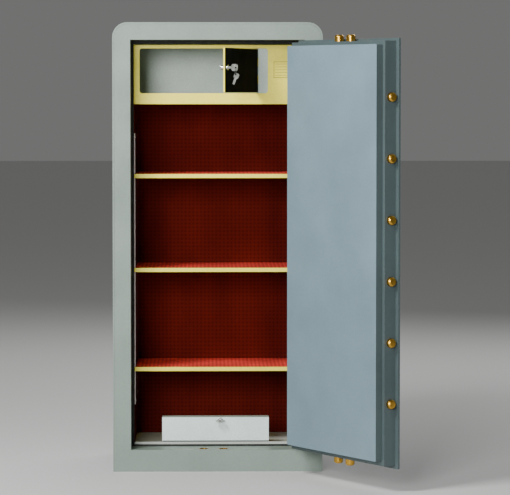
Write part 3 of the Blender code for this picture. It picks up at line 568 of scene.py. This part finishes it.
def bolt_profile(radius, length):
    """A bolt's profile, its tip at height 0: a flat end, a chamfer with rounded edges and a plain shank."""
    chamfer, fillet = radius * 0.27, radius * 0.10
    face = radius - chamfer
    return [
        (0.0, 0.0),
        (face - fillet, 0.0),
        (face - fillet * 0.3, -fillet * 0.1),
        (face + fillet * 0.3, -fillet * 0.55),
        (radius - fillet * 0.55, -chamfer + fillet * 0.3),
        (radius - fillet * 0.1, -chamfer - fillet * 0.3),
        (radius, -chamfer - fillet),
        (radius, -length + fillet),
        (radius - fillet, -length),
        (0.0, -length),
    ]


def make_side_bolts():
    for i in range(1, 7):
        node = f"side_bolt_{i}"
        low, high = box_in(DOOR, node)
        radius = (high.z - low.z) / 2
        bm = lathe(bolt_profile(radius, high.x - low.x))
        middle = (low + high) / 2
        bm.transform(along((low.x, middle.y, middle.z), (-1, 0, 0)))
        piece(f"{node}_turned", bm, DOOR, "side_bolts", BRASS, [node])


def make_end_bolts(node, way):
    """The pair of bolts at one end of the door, with their bar and pull rod. way is +1 up or -1 down."""
    low, high = box_in(DOOR, node)
    radius = (high.y - low.y) / 2
    tip = high.z if way > 0 else low.z
    bar_near = tip - way * (END_BOLT_LENGTH - 0.001)
    bar_far = bar_near - way * END_BAR_THICK
    verts = [DOOR.inverted() @ v.co for v in frame["nodes"][node].data.vertices]
    tips = [v for v in verts if abs(v.z - tip) < 0.0001]
    centre = sum(v.x for v in tips) / len(tips)
    left = min(v.x for v in tips)
    right = max(v.x for v in tips)
    face = radius * 0.73
    rod = [v for v in verts if way * (v.z - bar_far) < -0.02]
    rod_x = (min(v.x for v in rod), max(v.x for v in rod))
    rod_y = (min(v.y for v in rod), max(v.y for v in rod))
    rod_z = min(v.z for v in rod) if way > 0 else max(v.z for v in rod)
    middle_y = (low.y + high.y) / 2
    bm = bmesh.new()
    for x in (left + face, right - face):
        merge_in(bm, lathe(bolt_profile(radius, END_BOLT_LENGTH)), along((x, middle_y, tip), (0, 0, way)))
    piece(f"{node}_turned", bm, DOOR, node, BRASS, [node])
    bar = bmesh.new()
    z = sorted((bar_near, bar_far))
    bar_low = (centre - END_BAR_HALF[0], middle_y - END_BAR_HALF[1], z[0])
    bar_high = (centre + END_BAR_HALF[0], middle_y + END_BAR_HALF[1], z[1])
    add_box(bar, bar_low, bar_high, 0.0010)
    ends = sorted((rod_z, bar_near - way * 0.003))
    add_box(bar, (rod_x[0], rod_y[0], ends[0]), (rod_x[1], rod_y[1], ends[1]), 0.0012)
    piece(f"{node}_bar", bar, DOOR, node, STEEL)


# ---------------------------------------------------------------- door fittings


def make_handle():
    """The three-spoke handle: a stepped hub with a domed cap, tapered spokes and ball ends."""
    centre = point_in(DOOR, "handle_turn")
    low, high = box_in(DOOR, "handle")
    back = high.y
    depth = high.y - low.y
    hub = [(0.0, depth), (0.010, depth - 0.0006), (0.017, depth - 0.003), (0.0205, depth - 0.0068)]
    hub += corner(0.0205, depth - 0.0100, 0.0032, 60, 0, 4)
    hub += [(0.0237, 0.015), (0.0243, 0.0125), (0.0270, 0.0085), (0.0315, 0.0050)]
    hub += corner(0.0318, 0.0024, 0.0022, 70, -20, 4) + [(0.0336, 0.0), (0.0, 0.0)]
    bm = bmesh.new()
    merge_in(bm, lathe(hub), along((centre.x, back, centre.z), (0, -1, 0)))
    spoke_y = back - 0.028
    reach = 0.095
    spoke = [(0.0, 0.0), (0.0072, 0.0), (0.0072, 0.022), (0.0066, 0.026), (0.0055, 0.060)]
    spoke += [(0.0052, reach - 0.014), (0.0078, reach - 0.012)]
    spoke += [(0.0078, reach - 0.009), (0.0052, reach - 0.0075)]
    ball_at = reach + 0.0005
    ball_turn = [radians(35 + 14.5 * i) for i in range(11)]
    spoke += [(0.0106 * sin(a), ball_at - 0.0106 * cos(a)) for a in ball_turn]
    for i in range(3):
        angle = pi / 2 + i * 2 * pi / 3
        way = (cos(angle), 0.0, sin(angle))
        merge_in(bm, lathe(spoke, 40), along((centre.x, spoke_y, centre.z), way))
    piece("handle_turned", bm, DOOR, "handle", CHROME, ["handle"])


def make_dial():
    """The combination dial: a black disc with a knurled knob, white ticks and the numbers of the tens."""
    centre = point_in(DOOR, "dial_spin")
    low, high = box_in(DOOR, "dial")
    radius = (high.z - low.z) / 2
    ring_low, ring_high = box_in(DOOR, "dial_ring")
    base = box_in(DOOR, "door_plate")[0].y - 0.0006
    top = base - low.y
    disc = [(0.0, top)] + [(0.0125, top)] + corner(0.0125, top - 0.0020, 0.0020, 90, 0, 4)
    disc += [(0.0150, top - 0.004), (0.0170, 0.0135), (0.0190, 0.0115), (0.0300, 0.0100)]
    disc += [(radius - 0.0006, 0.0042), (radius, 0.0034), (radius, 0.0), (0.0, 0.0)]
    seat = along((centre.x, base, centre.z), (0, -1, 0))
    bm = bmesh.new()
    merge_in(bm, lathe(disc, 96), seat)
    for i in range(36):
        angle = 2 * pi * i / 36
        rib = bmesh.new()
        add_box(rib, (0.0136, -0.0006, 0.0160), (0.0162, 0.0006, top - 0.0030), 0.0003)
        merge_in(bm, rib, seat @ Matrix.Rotation(angle, 4, "Z"))
    piece("dial_turned", bm, DOOR, "dial", BLACK, ["dial"])

    marks = bmesh.new()
    slope = Vector((radius - 0.0006 - 0.0300, 0.0, 0.0042 - 0.0100))
    for i in range(100):
        start = 0.45 if i % 10 == 0 else 0.62 if i % 5 == 0 else 0.74
        tick = bmesh.new()
        add_box(tick, (start * slope.length, -0.00022, -0.0003), (0.97 * slope.length, 0.00022, 0.00012))
        lie = along((0.0300, 0.0, 0.0100), (0, 0, 1)) @ slope.to_track_quat("X", "Z").to_matrix().to_4x4()
        merge_in(marks, tick, seat @ Matrix.Rotation(2 * pi * i / 100, 4, "Z") @ lie)
    for i in range(10):
        stand = number_place(2 * pi * i / 10, 0.0248, 0.0108)
        merge_in(marks, number_mesh(str(i * 10), 0.0052), seat @ stand)
    piece("dial_marks", marks, DOOR, "dial", STRIP)

    index = bmesh.new()
    ring_r = (ring_high.z - ring_low.z) / 2 - 0.0045
    index_low = (-0.0008, ring_low.y - 0.0003, ring_r - 0.003)
    index_high = (0.0008, ring_low.y + PROUD, ring_r + 0.003)
    add_box(index, index_low, index_high)
    index.transform(Matrix.Translation((centre.x, 0.0, centre.z)))
    piece("dial_index", index, DOOR, "door", BLACK)


def number_mesh(text, size):
    """A flat raised number, centred on the origin and facing Z."""
    curve = bpy.data.curves.new("number", "FONT")
    curve.body = text
    curve.size = size
    curve.extrude = 0.0001
    curve.align_x = "CENTER"
    curve.align_y = "CENTER"
    curve.resolution_u = 3
    source = bpy.data.objects.new("number", curve)
    bpy.context.scene.collection.objects.link(source)
    mesh = bpy.data.meshes.new_from_object(source.evaluated_get(bpy.context.evaluated_depsgraph_get()))
    bpy.data.objects.remove(source, do_unlink=True)
    bm = bmesh.new()
    bm.from_mesh(mesh)
    bmesh.ops.remove_doubles(bm, verts=bm.verts, dist=0.000001)
    bpy.data.meshes.remove(mesh)
    return bm


def number_place(angle, radius, height):
    """Where a number stands on the dial: at this radius, its foot to the middle."""
    out = Matrix.Rotation(angle, 4, "Z") @ Matrix.Translation((radius, 0.0, height))
    return out @ Matrix.Rotation(-pi / 2, 4, "Z")


def make_hinge(name):
    """Both halves of a hinge with their edges rounded, a turned cap at each end, and three screws."""
    for half, body, place in (("frame", "cabinet", ROW), ("door", "door", DOOR)):
        node = f"hinge_{half}_{name}"
        refined(node, 0.0005, place, body, FINISHES[SLOT_OF[node]])
    low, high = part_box(f"hinge_frame_{name}")
    centre = joints["door_hinge"]["pos_m"]
    top = box_in(DOOR, f"hinge_door_{name}")[1].z
    radius = 0.0080
    cap = [(0.0, 0.0072), (0.0030, 0.0066), (0.0052, 0.0052), (0.0066, 0.0034), (0.0066, 0.0022)]
    cap += [(0.0074, 0.0014), (radius, 0.0006), (radius, 0.0), (0.0, 0.0)]
    bm = bmesh.new()
    merge_in(bm, lathe(cap, 48), along((0.0, 0.0, top + 0.0003), (0, 0, 1)))
    piece(f"hinge_cap_{name}", bm, DOOR, "door", DOORS)
    foot = bmesh.new()
    merge_in(foot, lathe(cap, 48), along((centre[0], centre[1], low.z + PROUD), (0, 0, -1)))
    piece(f"hinge_foot_{name}", foot, ROW, "cabinet", BODY)
    leaf = (centre[0] + high.x) / 2 + 0.006
    face = box_in(ROW, "front_frame")[0].y - 0.0033
    spots = [((leaf, face, low.z + 0.0125 + 0.0125 * i), (0, -1, 0)) for i in range(3)]
    screws(f"hinge_screws_{name}", spots, 0.0032, 0.0012, ROW, "cabinet", STEEL)


# ---------------------------------------------------------------- keys


def make_ring():
    """The key ring: two turns of round wire lying together."""
    low, high = box_in(LOCKER, "key_ring")
    centre = (low + high) / 2
    wire = (high.y - low.y) / 2
    radius = (high.z - low.z) / 2 - wire
    bm = bmesh.new()
    steps, sides = 72, 10
    thin = wire * 0.52
    for offset in (-1, 1):
        part = bmesh.new()
        bmesh.ops.create_circle(part, segments=sides, radius=thin)
        part.transform(Matrix.Translation((radius, 0, 0)) @ Matrix.Rotation(pi / 2, 4, "X"))
        spin_round(part, steps)
        bmesh.ops.remove_doubles(part, verts=part.verts, dist=0.00001)
        lie = Matrix.Translation(centre) @ Matrix.Rotation(pi / 2, 4, "X")
        merge_in(bm, part, lie @ Matrix.Translation((0, 0, offset * thin * 0.92)))
    piece("key_ring_wire", bm, LOCKER, "key_ring", DARK_KEY_METAL, ["key_ring"])


def refine_keys():
    # The keys take the darkened key metal: painted dark reflection.
    for node in ("locker_key", "spare_key", "ammo_key"):
        body = BODY_OF[node]
        refined(node, 0.0004, frame_for(body), body, DARK_KEY_METAL)


# ---------------------------------------------------------------- linings


def padded_panel(node, crown, material):
    """A lined panel or mat: softened edges and a surface that waves a little, as glued cloth does."""
    low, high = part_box(node)
    size = high - low
    thin = min(range(3), key=lambda i: size[i])
    bm = bmesh.new()
    bmesh.ops.create_cube(bm, size=1.0)
    bmesh.ops.scale(bm, vec=size, verts=bm.verts)
    long_edges = [e for e in bm.edges if abs((e.verts[0].co - e.verts[1].co)[thin]) < 1e-6]
    bmesh.ops.subdivide_edges(bm, edges=long_edges, cuts=30, use_grid_fill=True)
    soften(bm, size[thin] * 0.3)
    for v in bm.verts:
        wave = sin(v.co.x * 31.0 + v.co.z * 13.0) * sin(v.co.y * 27.0 - v.co.z * 19.0)
        v.co[thin] *= 1.0 - crown * (0.5 + 0.5 * wave)
    bm.transform(Matrix.Translation((low + high) / 2))
    return piece(f"{node}_cloth", bm, ROW, "cabinet", material, [node])


def make_linings():
    for node in ("lining_left", "lining_right", "lining_back"):
        padded_panel(node, 0.12, RED)
    # The shelf mats take the lighter copy of the lining: painted light on their tops.
    for shelf in ("upper", "middle", "lower"):
        padded_panel(f"shelf_mat_{shelf}", 0.12, LIT_RED_LINING)


# ---------------------------------------------------------------- studio


def make_camera():
    data = bpy.data.cameras.new("camera")
    data.lens = CAMERA_LENS
    data.sensor_width = 36.0
    camera = bpy.data.objects.new("camera", data)
    camera.location = CAMERA_AT
    camera.rotation_euler = (radians(90 + CAMERA_PITCH), 0.0, radians(CAMERA_YAW))
    bpy.context.scene.collection.objects.link(camera)
    bpy.context.scene.camera = camera


def make_floor():
    bm = bmesh.new()
    bmesh.ops.create_grid(bm, x_segments=2, y_segments=2, size=40.0)
    mesh = bpy.data.meshes.new("studio_floor")
    bm.to_mesh(mesh)
    bm.free()
    mesh.materials.append(finish("studio_floor", (0.70, 0.70, 0.69), 0.8))
    floor = bpy.data.objects.new("studio_floor", mesh)
    bpy.context.scene.collection.objects.link(floor)


def area_light(name, at, target, size, power):
    data = bpy.data.lights.new(name, "AREA")
    data.shape = "RECTANGLE"
    data.size, data.size_y = size
    data.energy = power
    light = bpy.data.objects.new(name, data)
    light.location = at
    way = Vector(target) - Vector(at)
    light.rotation_euler = way.to_track_quat("-Z", "Y").to_euler()
    bpy.context.scene.collection.objects.link(light)


def make_lights():
    world = bpy.data.worlds.new("studio")
    world.use_nodes = True
    world.node_tree.nodes["Background"].inputs[0].default_value = (0.83, 0.83, 0.82, 1.0)
    world.node_tree.nodes["Background"].inputs[1].default_value = 0.20
    bpy.context.scene.world = world
    area_light("key", (-1.5, -2.2, 3.0), (0.0, -0.2, 1.4), (1.0, 1.0), 115.0)
    area_light("front", (-1.5, -7.0, 2.2), (0.0, -0.2, 1.4), (2.0, 2.0), 340.0)
    area_light("rim", (1.5, 4.0, 3.6), (0.0, 0.1, 0.9), (4.0, 2.0), 90.0)


make_camera()
make_floor()
make_lights()
paint_rest()
refine_nodes()
make_cover()
make_linings()
make_side_bolts()
make_end_bolts("top_bolts", 1)
make_end_bolts("bottom_bolts", -1)
make_handle()
make_dial()
for hinge in ("upper", "lower"):
    make_hinge(hinge)
make_ring()
refine_keys()
make_upright_screws()
make_ruled_plate()
